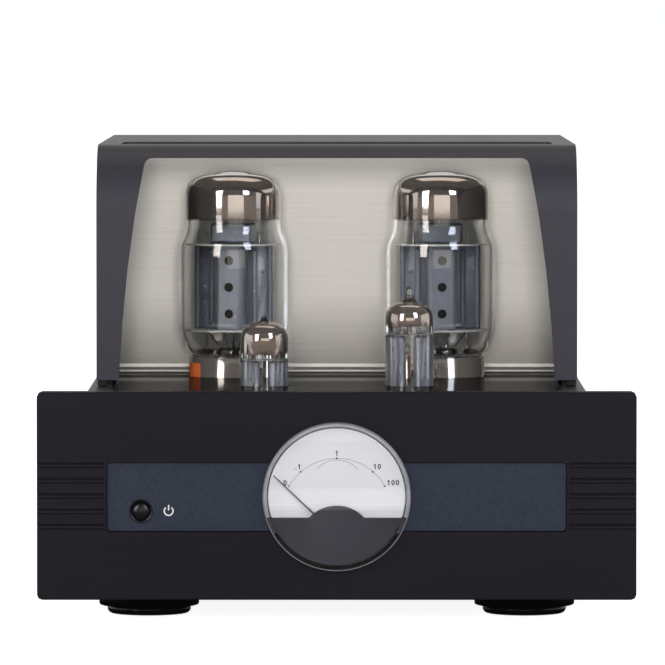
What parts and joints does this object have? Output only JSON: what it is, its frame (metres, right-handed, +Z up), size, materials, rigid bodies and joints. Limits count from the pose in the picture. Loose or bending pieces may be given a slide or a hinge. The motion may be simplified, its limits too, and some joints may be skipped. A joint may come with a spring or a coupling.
{
  "type": "tube power amplifier",
  "caption": "Mono tube power amplifier: thick front panel with a round meter, steel deck with power and driver tubes, and a black hood over the transformers.",
  "frame": {"origin": "centre of the bounding box, at the level of the surface the feet stand on", "axes": "+X to the right seen from the front, +Y to the rear panel, +Z up; the front panel faces -Y"},
  "size_m": [0.265, 0.4156, 0.2095],
  "materials": {
    "panel": "black anodised, fine horizontal brushing",
    "insert": "dark blue-grey speckled paint",
    "black_plastic": "gloss black plastic",
    "clear_cover": "clear acrylic",
    "dial_white": "matt white print",
    "dial_mask": "dark grey",
    "powder_black": "black powder coat with a fine texture",
    "steel": "brushed on the back plate, polished on the deck",
    "tube_base": "polished chrome",
    "tube_glass": "clear glass with a mirrored dome",
    "electrode": "dull grey metal",
    "rubber": "black rubber",
    "foot": "gloss black",
    "ceramic": "white ceramic",
    "board": "green solder mask",
    "capacitor": "black sleeve",
    "lamination": "varnished steel laminations",
    "winding": "varnished tape",
    "brass": "gold plated"
  },
  "bodies": {
    "chassis": {"front_panel": "panel", "front_insert_left": "insert", "front_insert_right": "insert", "meter_lens": "clear_cover", "meter_case": "black_plastic", "meter_dial": "dial_white", "meter_mask": "dial_mask", "meter_movement": "lamination", "button_bezel": "black_plastic", "button_switch": "black_plastic", "chassis_shell": "powder_black", "base_plate": "powder_black", "rear_panel": "powder_black", "tube_deck": "steel", "hood": "powder_black", "hood_gasket_left": "rubber", "hood_gasket_right": "rubber", "foot_front_left": "foot", "foot_front_right": "foot", "foot_rear_left": "foot", "foot_rear_right": "foot", "octal_socket_left": "ceramic", "noval_socket_left": "ceramic", "filter_capacitor_left": "capacitor", "octal_socket_right": "ceramic", "noval_socket_right": "ceramic", "filter_capacitor_right": "capacitor", "circuit_board": "board", "power_supply_board": "board", "mains_transformer_core": "lamination", "mains_transformer_winding": "winding", "output_transformer_core": "lamination", "output_transformer_winding": "winding", "choke_core": "lamination", "choke_winding": "winding", "mains_inlet": "black_plastic", "input_socket": "brass", "speaker_terminal_1": "brass", "speaker_terminal_2": "brass", "speaker_terminal_3": "brass"},
    "power_button": {"power_button": "black_plastic"},
    "meter_needle": {"meter_needle": "black_plastic"},
    "fuse_drawer": {"fuse_drawer": "black_plastic"},
    "power_tube_left": {"power_tube_left_base": "tube_base", "power_tube_left_pins": "black_plastic", "power_tube_left_bulb": "tube_glass", "power_tube_left_electrodes": "electrode"},
    "small_tube_left": {"small_tube_left_bulb": "tube_glass", "small_tube_left_pins": "tube_glass", "small_tube_left_electrodes": "electrode"},
    "power_tube_right": {"power_tube_right_base": "tube_base", "power_tube_right_pins": "black_plastic", "power_tube_right_bulb": "tube_glass", "power_tube_right_electrodes": "electrode"},
    "small_tube_right": {"small_tube_right_bulb": "tube_glass", "small_tube_right_pins": "tube_glass", "small_tube_right_electrodes": "electrode"},
    "terminal_cap_1": {"terminal_cap_1": "black_plastic"},
    "terminal_cap_2": {"terminal_cap_2": "black_plastic"},
    "terminal_cap_3": {"terminal_cap_3": "black_plastic"}
  },
  "joints": [
    {"name": "button_press", "type": "slide", "parent": "chassis", "child": "power_button", "axis": [0, 1, 0], "range_m": [0, 0.0025], "stiffness_N_per_m": 600},
    {"name": "needle_swing", "type": "hinge", "parent": "chassis", "child": "meter_needle", "pos_m": [0, -0.2033, 0.0397], "axis": [0, 1, 0], "range_deg": [0, 92.6], "stiffness_Nm_per_rad": 0.00002},
    {"name": "power_tube_left_lift", "type": "slide", "parent": "chassis", "child": "power_tube_left", "axis": [0, 0, 1], "range_m": [0, 0.03]},
    {"name": "small_tube_left_lift", "type": "slide", "parent": "chassis", "child": "small_tube_left", "axis": [0, 0, 1], "range_m": [0, 0.03]},
    {"name": "power_tube_right_lift", "type": "slide", "parent": "chassis", "child": "power_tube_right", "axis": [0, 0, 1], "range_m": [0, 0.03]},
    {"name": "small_tube_right_lift", "type": "slide", "parent": "chassis", "child": "small_tube_right", "axis": [0, 0, 1], "range_m": [0, 0.03]},
    {"name": "fuse_drawer_slide", "type": "slide", "parent": "chassis", "child": "fuse_drawer", "axis": [0, 1, 0], "range_m": [0, 0.018]},
    {"name": "terminal_cap_1_turn", "type": "hinge", "parent": "chassis", "child": "terminal_cap_1", "pos_m": [0.02, 0.2007, 0.04], "axis": [0, 1, 0], "continuous": true},
    {"name": "terminal_cap_2_turn", "type": "hinge", "parent": "chassis", "child": "terminal_cap_2", "pos_m": [0.046, 0.2007, 0.04], "axis": [0, 1, 0], "continuous": true},
    {"name": "terminal_cap_3_turn", "type": "hinge", "parent": "chassis", "child": "terminal_cap_3", "pos_m": [0.072, 0.2007, 0.04], "axis": [0, 1, 0], "continuous": true}
  ]
}
